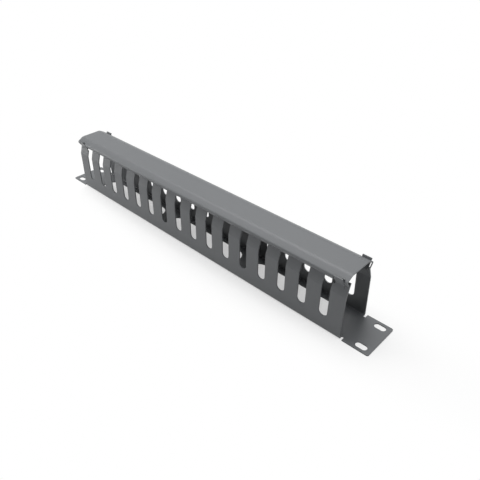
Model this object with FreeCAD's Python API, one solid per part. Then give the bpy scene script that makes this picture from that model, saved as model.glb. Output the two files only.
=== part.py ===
"""Horizontal cable manager, 1U high, for a 19-inch rack.

Two folded sheets of steel. The trough is one sheet: a flat panel with an ear at each end for the rack
bolts, and two long walls folded up from it. Slots open at the top divide each wall into fingers, whose
upper parts lean inward. The cover is the second sheet: a flat top, two sloping shoulders and two lips
that turn in over the fingers. One tab on each end finger flares outward through a notch in the cover.

X runs along the panel, Y across it and Z away from the rack. The origin is the middle of the panel's
rear face. Sizes are in millimetres and angles in degrees.
"""
import FreeCAD, Part
import math
import os

# Sheet
SHEET = 1.2
BEND_RADIUS = 0.9  # inside of every bend but the soft ones along the cover's top

# Panel and ears
PANEL_LENGTH = 482.6
PANEL_HEIGHT = 44.0
PANEL_CORNER_RADIUS = 2.0
EAR_LENGTH = 30.3
EAR_SLOT_LENGTH = 12.0
EAR_SLOT_WIDTH = 6.5
EAR_SLOT_TO_EDGE = 10.7  # slot centre to the end of the panel
EAR_SLOT_SPACING = 31.75
RELIEF_WIDTH = 2.5  # notch between a wall's end and the ear

# Openings in the panel, behind the cables
OPENING_COUNT = 3
OPENING_WIDTH = 26.4
OPENING_BRIDGE = 16.0
OPENING_MARGIN_LEFT = 18.1
OPENING_MARGIN_RIGHT = 13.1

# Walls and fingers
WALL_INSET = 0.25  # wall's foot from the panel's long edge
WALL_LEAN = 2.2
FINGER_BEND_HEIGHT = 48.5
FINGER_LEAN = 18.5
FINGER_RISE = 14.0  # finger tip above its bend
FINGER_CORNER_RADIUS = 2.5
SLOT_WIDTH = 9.55
SLOT_PITCH = 25.3
SLOT_BOTTOM = 15.8
END_FINGER_MIN = 14.0
BACK_SHIFT = 2.0  # slots and tabs of the +Y wall sit this far towards +X from those of the -Y wall

# Tabs on the end fingers
TAB_WIDTH = 9.6
TAB_FROM_END = 9.4  # tab centre to the wall's end
TAB_NECK_RISE = 9.4  # tab's inner bend above the finger's bend
TAB_RISE = 9.85
TAB_FLARE = 26.5
TAB_SLIT = 0.7

# Cover
COVER_END_GAP = 0.6  # cover's end to the wall's end
LIP_RISE = 11.1  # lip's end above the finger's bend
LIP_DEPTH = 5.8
LIP_LEAN = 35.0
SHOULDER_RUN = 8.4
SHOULDER_SLOPE = 29.7
TOP_BEND_RADIUS = 5.8

# Fits between the cover and the trough
SEAT_CLEARANCE = 0.3  # lip to finger
NOTCH_CLEARANCE = 0.3  # notch's edge to the tab's inner face
NOTCH_SIDE_CLEARANCE = 1.2

# Worked out from the sizes above
WALL_LENGTH = PANEL_LENGTH - 2 * EAR_LENGTH
WALL_FOOT = PANEL_HEIGHT / 2 - WALL_INSET
COVER_LENGTH = WALL_LENGTH - 2 * COVER_END_GAP
WALL_SHIFTS = {-1: 0.0, 1: BACK_SHIFT}  # by the side of the trough
CUT_REACH = PANEL_HEIGHT  # out past a wall, for cutters that start at the middle


def point(y, z, x=0.0):
    return FreeCAD.Vector(x, y, z)


def tan(angle):
    return math.tan(math.radians(angle))


def cos(angle):
    return math.cos(math.radians(angle))


def sin(angle):
    return math.sin(math.radians(angle))


def mirrored(half):
    """A section's +Y half, from its end to the middle, with the -Y half added."""
    return half + [(-y, z) for y, z in reversed(half)]


def unit(vector):
    return vector * (1 / vector.Length)


def to_the_right(direction):
    """The unit vector to the right of a heading, seen with Y to the right and Z up."""
    return point(direction.z, -direction.y)


def offset_path(path, distance):
    """The path moved sideways to its right by distance, with its corners mitred."""
    moved = []
    for i, corner in enumerate(path):
        before = unit(corner - path[i - 1]) if i > 0 else unit(path[1] - path[0])
        after = unit(path[i + 1] - corner) if i + 1 < len(path) else before
        side, next_side = to_the_right(before), to_the_right(after)
        moved.append(corner + (side + next_side) * (distance / (1 + side.dot(next_side))))
    return moved


def bend_arc(before, corner, after, radius):
    """The tangent arc of the given radius that rounds a corner of a path."""
    incoming, outgoing = unit(corner - before), unit(after - corner)
    turn = incoming.getAngle(outgoing)
    reach = radius * math.tan(turn / 2)
    towards_centre = unit(outgoing - incoming)
    centre = corner + towards_centre * (radius / math.cos(turn / 2))
    middle = centre - towards_centre * radius
    return Part.Arc(corner - incoming * reach, middle, corner + outgoing * reach)


def rounded_edges(path, radii):
    """Straight runs and tangent arcs along a path, one radius for each inner corner."""
    edges = []
    start = path[0]
    for before, corner, after, radius in zip(path, path[1:], path[2:], radii):
        arc = bend_arc(before, corner, after, radius)
        edges.append(Part.LineSegment(start, arc.StartPoint).toShape())
        edges.append(arc.toShape())
        start = arc.EndPoint
    edges.append(Part.LineSegment(start, path[-1]).toShape())
    return edges


def folded_sheet(outline, inside_radii, length, middle=0.0):
    """A sheet folded along X, its outer face on outline and its thickness to the outline's right."""
    outer = [point(y, z) for y, z in outline]
    inner = offset_path(outer, SHEET)
    outer_radii = []
    inner_radii = []
    for before, corner, after, radius in zip(outer, outer[1:], outer[2:], inside_radii):
        turns_right = to_the_right(corner - before).dot(after - corner) > 0
        outer_radii.append(radius + SHEET if turns_right else radius)
        inner_radii.append(radius if turns_right else radius + SHEET)
    edges = rounded_edges(outer, outer_radii)
    edges.append(Part.LineSegment(outer[-1], inner[-1]).toShape())
    edges += rounded_edges(inner[::-1], inner_radii[::-1])
    edges.append(Part.LineSegment(inner[0], outer[0]).toShape())
    section = Part.Face(Part.Wire(edges))
    section.translate(point(0, 0, middle - length / 2))
    return section.extrude(point(0, 0, length))


def box(x_range, y_range, z_range):
    corner = point(y_range[0], z_range[0], x_range[0])
    size = [high - low for low, high in (x_range, y_range, z_range)]
    return Part.makeBox(*size, corner)


def obround(x, y, length, width):
    """A cutter with round ends, along X, through the panel."""
    straight = (length - width) / 2
    below, above = -SHEET, 2 * SHEET
    places = [point(y, below, x + side * straight) for side in (-1, 1)]
    ends = [Part.makeCylinder(width / 2, above - below, place) for place in places]
    middle = box((x - straight, x + straight), (y - width / 2, y + width / 2), (below, above))
    return middle.fuse(ends)


def evenly_spaced(count, pitch):
    return [(i - (count - 1) / 2) * pitch for i in range(count)]


# ---- the shared lines of the fit between cover and trough, on the +Y side ----

def wall_face(z):
    """Y of a wall's outer face below the finger's bend."""
    return WALL_FOOT - z * tan(WALL_LEAN)


def finger_face(rise):
    """(Y, Z) on a finger's outer face, by height above its bend."""
    return (wall_face(FINGER_BEND_HEIGHT) - rise * tan(FINGER_LEAN), FINGER_BEND_HEIGHT + rise)


def tab_tip():
    """(Y, Z) of the outer edge at a tab's tip."""
    neck_y, neck_z = finger_face(TAB_NECK_RISE)
    return (neck_y + TAB_RISE * tan(TAB_FLARE), neck_z + TAB_RISE)


def cover_half():
    """The cover's outer corners from a lip's end to the flat top: the lip seats on the fingers."""
    inner_rise = LIP_RISE + SHEET * sin(LIP_LEAN)
    seat_y = finger_face(inner_rise)[0] + SEAT_CLEARANCE / cos(FINGER_LEAN)
    lip_end = (seat_y + SHEET * cos(LIP_LEAN), FINGER_BEND_HEIGHT + LIP_RISE)
    edge = (lip_end[0] + LIP_DEPTH * tan(LIP_LEAN), lip_end[1] + LIP_DEPTH)
    top = (edge[0] - SHOULDER_RUN, edge[1] + SHOULDER_RUN * tan(SHOULDER_SLOPE))
    return [lip_end, edge, top]


def notch_edge():
    """Y of the notch's inner edge: where the shoulder's inner face nears the tab's inner face."""
    tip_y, tip_z = tab_tip()
    tab_y = tip_y - SHEET / cos(TAB_FLARE)
    edge_y, edge_z = cover_half()[1]
    shoulder_z = edge_z - SHEET / cos(SHOULDER_SLOPE)
    slope = tan(SHOULDER_SLOPE)
    flare = tan(TAB_FLARE)
    crossing = (tab_y + flare * (shoulder_z + slope * edge_y - tip_z)) / (1 + flare * slope)
    return crossing - NOTCH_CLEARANCE


# ---- trough ----

def on_both_walls(places):
    """(X of the centre, side of the trough) for a row of features that each wall has."""
    return [(x + shift, side) for x in places for side, shift in WALL_SHIFTS.items()]


def slot_row():
    room = WALL_LENGTH - 2 * END_FINGER_MIN - SLOT_WIDTH
    return evenly_spaced(int(room / SLOT_PITCH) + 1, SLOT_PITCH)


def slot_places():
    return on_both_walls(slot_row())


def tab_places():
    place = WALL_LENGTH / 2 - TAB_FROM_END
    return on_both_walls([-place, place])


def channel():
    """The floor and both walls as one folded profile, before the slots."""
    half = [finger_face(FINGER_RISE), finger_face(0), (WALL_FOOT, 0)]
    return folded_sheet(mirrored(half), [BEND_RADIUS] * 4, WALL_LENGTH)


def finger_slot(x, side):
    """A cutter through one wall: round at the bottom, with the fingers' tips rounded beside it."""
    half = SLOT_WIDTH / 2
    tip = finger_face(FINGER_RISE)[1]
    round_end = SLOT_BOTTOM + half
    corner = FINGER_CORNER_RADIUS
    above = tip + SLOT_WIDTH

    def turn(centre_x, centre_z, radius, start, end):
        angles = [start, (start + end) / 2, end]
        stops = [(centre_x + radius * cos(a), centre_z + radius * sin(a)) for a in angles]
        return Part.Arc(*[point(0, z, x + across) for across, z in stops])

    left_tip = turn(-half - corner, tip - corner, corner, 90, 0)
    bottom = turn(0, round_end, half, 180, 360)
    right_tip = turn(half + corner, tip - corner, corner, 180, 90)
    top_left = point(0, above, x - half - corner)
    top_right = point(0, above, x + half + corner)
    stops = [
        (top_left, left_tip.StartPoint),
        (left_tip.EndPoint, bottom.StartPoint),
        (bottom.EndPoint, right_tip.StartPoint),
        (right_tip.EndPoint, top_right),
        (top_right, top_left),
    ]
    edges = [Part.LineSegment(a, b).toShape() for a, b in stops]
    edges += [arc.toShape() for arc in (left_tip, bottom, right_tip)]
    section = Part.Face(Part.Wire(Part.__sortEdges__(edges)))
    return section.extrude(point(side * CUT_REACH, 0))


def ears():
    """Both ends of the flat panel, up to the ends of the walls, with the bend reliefs cut."""
    half_length, half_height = PANEL_LENGTH / 2, PANEL_HEIGHT / 2
    panel = box((-half_length, half_length), (-half_height, half_height), (0, SHEET))
    corners = [edge for edge in panel.Edges if edge.BoundBox.ZLength > SHEET / 2]
    panel = panel.makeFillet(PANEL_CORNER_RADIUS, corners)
    inner = WALL_LENGTH / 2
    fold = WALL_FOOT - 2 * (BEND_RADIUS + SHEET)
    relief = inner + RELIEF_WIDTH
    cutters = [box((-inner, inner), (-half_height, half_height), (-SHEET, 2 * SHEET))]
    for side in (-1, 1):
        across = sorted((side * fold, side * PANEL_HEIGHT))
        cutters.append(box((-relief, relief), across, (-SHEET, 2 * SHEET)))
    return panel.cut(cutters)


def tab(x, side):
    """A tab and the part of its finger just below the neck, as one folded strip."""
    neck = finger_face(TAB_NECK_RISE)
    foot = finger_face(TAB_NECK_RISE / 2)
    outline = [tab_tip(), neck, foot]
    if side < 0:
        outline = [(-y, z) for y, z in reversed(outline)]
    return folded_sheet(outline, [BEND_RADIUS], TAB_WIDTH, x)


def tab_window(x, side):
    """What is cut from an end finger round its tab: all above the neck, from the slot to the slit."""
    last_slot = WALL_SHIFTS[side] + math.copysign(slot_row()[-1] + SLOT_WIDTH / 2, x)
    slit = x + math.copysign(TAB_WIDTH / 2 + TAB_SLIT, x)
    neck = finger_face(TAB_NECK_RISE - 2 * BEND_RADIUS)
    across = sorted((0, side * CUT_REACH))
    return box(sorted((last_slot, slit)), across, (neck[1], neck[1] + CUT_REACH))


def panel_openings():
    span = WALL_LENGTH - OPENING_MARGIN_LEFT - OPENING_MARGIN_RIGHT
    length = (span - (OPENING_COUNT - 1) * OPENING_BRIDGE) / OPENING_COUNT
    middle = (OPENING_MARGIN_LEFT - OPENING_MARGIN_RIGHT) / 2
    places = evenly_spaced(OPENING_COUNT, length + OPENING_BRIDGE)
    return [obround(middle + x, 0, length, OPENING_WIDTH) for x in places]


def ear_slots():
    x = PANEL_LENGTH / 2 - EAR_SLOT_TO_EDGE
    y = EAR_SLOT_SPACING / 2
    return [obround(a, b, EAR_SLOT_LENGTH, EAR_SLOT_WIDTH) for a in (-x, x) for b in (-y, y)]


def cable_trough():
    cutters = [finger_slot(x, side) for x, side in slot_places()]
    cutters += [tab_window(x, side) for x, side in tab_places()]
    walls = channel().cut(cutters)
    body = walls.fuse([ears()] + [tab(x, side) for x, side in tab_places()])
    body = body.cut(panel_openings() + ear_slots())
    return body.removeSplitter()


# ---- cover ----

def notch(x, side):
    """A cutter that opens the lip and the shoulder's edge round a tab."""
    half = TAB_WIDTH / 2 + NOTCH_SIDE_CLEARANCE
    lip_end, edge, top = cover_half()
    notch_y = notch_edge()
    above_notch = edge[1] + (edge[0] - notch_y) * tan(SHOULDER_SLOPE)
    under_shoulder = above_notch - SHEET / cos(SHOULDER_SLOPE)
    along = (x - half, x + half)
    below = lip_end[1] - SHEET
    lip_cut = box(along, sorted((side * top[0], side * CUT_REACH)), (below, under_shoulder))
    edge_cut = box(along, sorted((side * notch_y, side * CUT_REACH)), (below, top[1]))
    return lip_cut.fuse(edge_cut)


def snap_cover():
    radii = [BEND_RADIUS, TOP_BEND_RADIUS, TOP_BEND_RADIUS, BEND_RADIUS]
    sheet = folded_sheet(mirrored(cover_half())[::-1], radii, COVER_LENGTH)
    return sheet.cut([notch(x, side) for x, side in tab_places()])


def main():
    os.makedirs("parts", exist_ok=True)
    nodes = {"cable_trough": cable_trough(), "snap_cover": snap_cover()}
    for name, shape in nodes.items():
        solid = shape.Solids[0] if len(shape.Solids) == 1 else shape
        solid.exportStep(f"parts/{name}.step")
        extent = solid.BoundBox
        print(name, "solids", len(shape.Solids), "valid", shape.isValid())
        print("  x", round(extent.XMin, 2), round(extent.XMax, 2))
        print("  y", round(extent.YMin, 2), round(extent.YMax, 2))
        print("  z", round(extent.ZMin, 2), round(extent.ZMax, 2))


main()
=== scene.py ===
"""Looks for the horizontal cable manager: two folded steel sheets with a satin black powder coat.

Both CAD nodes stay as they are and get a procedural powder coat. The rest is a white floor, soft
studio light and the camera. Everything is in metres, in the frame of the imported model, and
colours are linear.
"""
import math

import bpy
from mathutils import Matrix, Vector


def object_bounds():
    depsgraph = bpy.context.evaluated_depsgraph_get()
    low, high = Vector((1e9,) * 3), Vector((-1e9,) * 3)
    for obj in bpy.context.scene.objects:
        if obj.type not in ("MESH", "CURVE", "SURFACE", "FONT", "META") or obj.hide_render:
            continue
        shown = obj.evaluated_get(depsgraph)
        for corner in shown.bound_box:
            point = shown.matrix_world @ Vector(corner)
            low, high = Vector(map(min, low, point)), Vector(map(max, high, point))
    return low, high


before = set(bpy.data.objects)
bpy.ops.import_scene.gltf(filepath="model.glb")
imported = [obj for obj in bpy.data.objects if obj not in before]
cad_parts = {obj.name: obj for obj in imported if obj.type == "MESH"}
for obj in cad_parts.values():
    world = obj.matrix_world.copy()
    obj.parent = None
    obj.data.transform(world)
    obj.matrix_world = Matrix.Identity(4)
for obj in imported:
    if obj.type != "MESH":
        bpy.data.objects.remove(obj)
cad_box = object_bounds()

MM = 0.001

# Camera, above the right front: the point it looks at, and where it stands from there
CAMERA_TARGET = Vector((0.0458, 0.0194, 0.0095))
CAMERA_DISTANCE = 0.5711
CAMERA_AZIMUTH = -45.44  # degrees from +X towards +Y
CAMERA_ELEVATION = 35.69
CAMERA_ROLL = -1.10  # degrees, about the line of sight
CAMERA_LENS = 37.66  # millimetres, on a sensor 36 millimetres wide

# Studio
FLOOR_SIZE = 12.0
FLOOR_DROP = 0.05 * MM  # floor below the panel's rear face, so that the two never share a plane
FLOOR_COLOR = 0.85
FLOOR_COLOR_SEEN = 0.50  # what the camera and reflections see of it, for a faint shadow
FLOOR_GLOW = 0.465  # what the floor adds for them, so that it is near white beside the shadow
FLOOR_FADE = (0.16, 0.028)  # half axes of the oval round the origin where the fade to white starts
FLOOR_FADE_END = 2.7  # how many times those half axes it takes to reach pure white
WORLD_LIGHT = 0.10  # strength for diffuse light; the world is white where it is seen
# Each aims at the origin. Elevation, azimuth (degrees from +X towards +Y), distance, side, watts
SOFTBOXES = {
    "overhead": (88, 0, 1.4, 0.7, 7.5),
    "back_left": (60, 120, 1.4, 0.7, 5.7),
    "left": (60, 180, 1.4, 0.7, 6.5),
    "right": (45, 0, 1.4, 1.2, 4.0),
    "front_left": (15, 207, 0.62, 0.25, 0.9),
}

# Powder coat
COAT_COLOR = (0.119, 0.125, 0.131)
COAT_DARK = (0.104, 0.110, 0.116)  # the darker of the faint patches
COAT_PATCH = 60.0 * MM  # size of those patches, in colour and in roughness
COAT_PATCH_DETAIL = 3.0
COAT_ROUGHNESS = (0.40, 0.50)
COAT_IOR = 1.5
COAT_GRAIN = 0.45 * MM  # width of one bump of the coat's fine texture
COAT_GRAIN_HEIGHT = 0.025 * MM
COAT_GRAIN_DETAIL = 3.0
COAT_WAVE = 4.0 * MM  # width of the slow waves that a sprayed coat dries with
COAT_WAVE_HEIGHT = 0.010 * MM
COAT_WAVE_DETAIL = 1.0
EDGE_ROUND = 0.20 * MM  # how far the coat rounds a cut edge
EDGE_SAMPLES = 6  # rays that find the rounding
EDGE_WEAR_AND_HIGHLIGHT_COLOR = (0.150, 0.157, 0.164)  # the coat is thinner and rubbed on the edges, and a painted highlight makes them lighter too
EDGE_TURN = 0.90  # cosine between the rounded and the flat normal where an edge is fully worn and painted lighter
EDGE_WEAR_AND_HIGHLIGHT = (0.15, 0.85)  # least and most wear and painted highlight along the edges
EDGE_WEAR_AND_HIGHLIGHT_SIZE = 9.0 * MM  # length of a stretch of even wear and painted highlight
EDGE_WEAR_AND_HIGHLIGHT_DETAIL = 2.0


# ---- node helpers ----

def new_material(name):
    material = bpy.data.materials.new(name)
    material.use_nodes = True
    material.node_tree.nodes.clear()
    return material


def add_node(tree, kind, **values):
    """A node with its properties set; names that aren't properties are input sockets."""
    node = tree.nodes.new(kind)
    for name, value in values.items():
        if hasattr(node, name):
            setattr(node, name, value)
        else:
            node.inputs[name.replace("_", " ")].default_value = value
    return node


def noise(tree, place, size, detail):
    """Noise with features of the given size, between 0 and 1."""
    node = add_node(tree, "ShaderNodeTexNoise", Scale=1 / size, Detail=detail)
    tree.links.new(place, node.inputs["Vector"])
    return node.outputs["Fac"]


def ramp(tree, value, low, high):
    """Value mapped from 0..1 to low..high."""
    node = add_node(tree, "ShaderNodeMapRange", To_Min=low, To_Max=high)
    tree.links.new(value, node.inputs["Value"])
    return node.outputs["Result"]


def mixed(tree, factor, first, second):
    """Two colours mixed; each is an output socket or a colour."""
    node = tree.nodes.new("ShaderNodeMix")
    node.data_type = "RGBA"
    tree.links.new(factor, node.inputs["Factor"])
    for name, color in (("A", first), ("B", second)):
        socket = next(s for s in node.inputs if s.name == name and s.type == "RGBA")
        if isinstance(color, tuple):
            socket.default_value = (*color, 1)
        else:
            tree.links.new(color, socket)
    return next(s for s in node.outputs if s.type == "RGBA")


def combined(tree, kind, operation, first, second):
    """The value that a Math or Vector Math node makes of two output sockets."""
    node = add_node(tree, kind, operation=operation)
    tree.links.new(first, node.inputs[0])
    tree.links.new(second, node.inputs[1])
    return node.outputs["Value"]


def bumped(tree, height, distance, normal):
    """The normal with bumps of the given height, in metres, added."""
    node = add_node(tree, "ShaderNodeBump", Strength=1.0, Distance=distance)
    tree.links.new(height, node.inputs["Height"])
    tree.links.new(normal, node.inputs["Normal"])
    return node.outputs["Normal"]


def either(tree, factor, first, second):
    """The first shader where the factor is 0, the second where it is 1."""
    node = tree.nodes.new("ShaderNodeMixShader")
    tree.links.new(factor, node.inputs["Fac"])
    tree.links.new(first, node.inputs[1])
    tree.links.new(second, node.inputs[2])
    return node.outputs["Shader"]


def show(tree, shader, kind="ShaderNodeOutputMaterial"):
    """Connects a shader to a new output node."""
    tree.links.new(shader, tree.nodes.new(kind).inputs["Surface"])


# ---- materials ----

def edge_wear_and_highlight(tree, place, rounded):
    """0 on flat faces, up to 1 where an edge is rubbed and painted lighter as a highlight; uneven
    along the edge.
    """
    flat = tree.nodes.new("ShaderNodeNewGeometry").outputs["Normal"]
    turn = combined(tree, "ShaderNodeVectorMath", "DOT_PRODUCT", rounded, flat)
    edge = add_node(tree, "ShaderNodeMapRange", From_Min=1.0, From_Max=EDGE_TURN)
    tree.links.new(turn, edge.inputs["Value"])
    uneven = ramp(tree, noise(tree, place, EDGE_WEAR_AND_HIGHLIGHT_SIZE, EDGE_WEAR_AND_HIGHLIGHT_DETAIL), *EDGE_WEAR_AND_HIGHLIGHT)
    return combined(tree, "ShaderNodeMath", "MULTIPLY", edge.outputs["Result"], uneven)


def powder_coat():
    """Satin black: faint patches, fine grain, slow waves and rounded edges made lighter by wear
    and a painted highlight.
    """
    material = new_material("powder_coat")
    tree = material.node_tree
    place = tree.nodes.new("ShaderNodeTexCoord").outputs["Object"]
    patches = noise(tree, place, COAT_PATCH, COAT_PATCH_DETAIL)
    grain = noise(tree, place, COAT_GRAIN, COAT_GRAIN_DETAIL)
    waves = noise(tree, place, COAT_WAVE, COAT_WAVE_DETAIL)
    bevel = add_node(tree, "ShaderNodeBevel", samples=EDGE_SAMPLES, Radius=EDGE_ROUND)
    rounded = bevel.outputs["Normal"]
    color = mixed(tree, patches, COAT_DARK, COAT_COLOR)
    # edges lighter in colour: rubbed coat and a painted highlight
    color = mixed(tree, edge_wear_and_highlight(tree, place, rounded), color, EDGE_WEAR_AND_HIGHLIGHT_COLOR)
    normal = bumped(tree, waves, COAT_WAVE_HEIGHT, rounded)
    normal = bumped(tree, grain, COAT_GRAIN_HEIGHT, normal)
    shader = add_node(tree, "ShaderNodeBsdfPrincipled", IOR=COAT_IOR)
    tree.links.new(color, shader.inputs["Base Color"])
    tree.links.new(ramp(tree, patches, *COAT_ROUGHNESS), shader.inputs["Roughness"])
    tree.links.new(normal, shader.inputs["Normal"])
    show(tree, shader.outputs["BSDF"])
    return material


def seen_directly(tree):
    """1 for rays from the camera, from a mirror-like surface or through glass, else 0."""
    path = tree.nodes.new("ShaderNodeLightPath")
    total = path.outputs["Is Camera Ray"]
    for name in ("Is Glossy Ray", "Is Transmission Ray"):
        total = combined(tree, "ShaderNodeMath", "MAXIMUM", total, path.outputs[name])
    return total


def away_from_object(tree):
    """0 inside the oval of FLOOR_FADE, rising to 1 at FLOOR_FADE_END times its size."""
    place = tree.nodes.new("ShaderNodeTexCoord").outputs["Object"]
    oval = add_node(tree, "ShaderNodeVectorMath", operation="DIVIDE")
    oval.inputs[1].default_value = (*FLOOR_FADE, 1)
    tree.links.new(place, oval.inputs[0])
    away = add_node(tree, "ShaderNodeVectorMath", operation="LENGTH")
    tree.links.new(oval.outputs["Vector"], away.inputs[0])
    fade = add_node(tree, "ShaderNodeMapRange", From_Min=1.0, From_Max=FLOOR_FADE_END)
    fade.interpolation_type = "SMOOTHSTEP"
    tree.links.new(away.outputs["Value"], fade.inputs["Value"])
    return fade.outputs["Result"]


def white_floor():
    """Pale paper that is near white where it is seen, and pure white away from the object."""
    material = new_material("white_floor")
    tree = material.node_tree
    seen = seen_directly(tree)
    paper = tree.nodes.new("ShaderNodeBsdfDiffuse")
    grays = [(gray, gray, gray) for gray in (FLOOR_COLOR, FLOOR_COLOR_SEEN)]
    tree.links.new(mixed(tree, seen, *grays), paper.inputs["Color"])
    glow = tree.nodes.new("ShaderNodeEmission")
    tree.links.new(ramp(tree, seen, 0.0, FLOOR_GLOW), glow.inputs["Strength"])
    both = tree.nodes.new("ShaderNodeAddShader")
    tree.links.new(paper.outputs["BSDF"], both.inputs[0])
    tree.links.new(glow.outputs["Emission"], both.inputs[1])
    white = add_node(tree, "ShaderNodeEmission", Strength=1.0)
    fade = combined(tree, "ShaderNodeMath", "MULTIPLY", seen, away_from_object(tree))
    show(tree, either(tree, fade, both.outputs["Shader"], white.outputs["Emission"]))
    return material


# ---- object ----

def coat_object():
    coat = powder_coat()
    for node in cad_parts.values():
        for slot in node.material_slots:
            slot.material = coat


# ---- studio ----

def make_floor():
    half = FLOOR_SIZE / 2
    low = cad_box[0].z - FLOOR_DROP
    mesh = bpy.data.meshes.new("floor")
    corners = [(-half, -half, low), (half, -half, low), (half, half, low), (-half, half, low)]
    mesh.from_pydata(corners, [], [(0, 1, 2, 3)])
    mesh.materials.append(white_floor())
    floor = bpy.data.objects.new("floor", mesh)
    bpy.context.scene.collection.objects.link(floor)


def make_world():
    world = bpy.data.worlds.new("studio")
    bpy.context.scene.world = world
    world.use_nodes = True
    tree = world.node_tree
    tree.nodes.clear()
    room = add_node(tree, "ShaderNodeBackground", Color=(1, 1, 1, 1), Strength=WORLD_LIGHT)
    white = add_node(tree, "ShaderNodeBackground", Color=(1, 1, 1, 1), Strength=1.0)
    shown = either(tree, seen_directly(tree), room.outputs["Background"],
                   white.outputs["Background"])
    show(tree, shown, "ShaderNodeOutputWorld")


def towards(azimuth, elevation):
    """The unit vector at an azimuth and elevation, in degrees."""
    azimuth, elevation = math.radians(azimuth), math.radians(elevation)
    level = math.cos(elevation)
    return Vector((level * math.cos(azimuth), level * math.sin(azimuth), math.sin(elevation)))


def make_lights():
    for name, (elevation, azimuth, distance, side, watts) in SOFTBOXES.items():
        data = bpy.data.lights.new(f"{name}_softbox", "AREA")
        data.size = side
        data.energy = watts
        lamp = bpy.data.objects.new(data.name, data)
        lamp.location = towards(azimuth, elevation) * distance
        lamp.rotation_euler = (-lamp.location).to_track_quat("-Z", "Y").to_euler()
        bpy.context.scene.collection.objects.link(lamp)


def make_camera():
    backward = towards(CAMERA_AZIMUTH, CAMERA_ELEVATION)
    right = Vector((0, 0, 1)).cross(backward).normalized()
    turn = Matrix.Rotation(math.radians(CAMERA_ROLL), 3, backward)
    right = turn @ right
    axes = Matrix((right, backward.cross(right), backward)).transposed()
    data = bpy.data.cameras.new("camera")
    data.lens = CAMERA_LENS
    camera = bpy.data.objects.new("camera", data)
    place = Matrix.Translation(CAMERA_TARGET + backward * CAMERA_DISTANCE)
    camera.matrix_world = place @ axes.to_4x4()
    bpy.context.scene.collection.objects.link(camera)
    bpy.context.scene.camera = camera


bpy.context.scene.view_settings.view_transform = "Standard"
coat_object()
make_floor()
make_world()
make_lights()
make_camera()
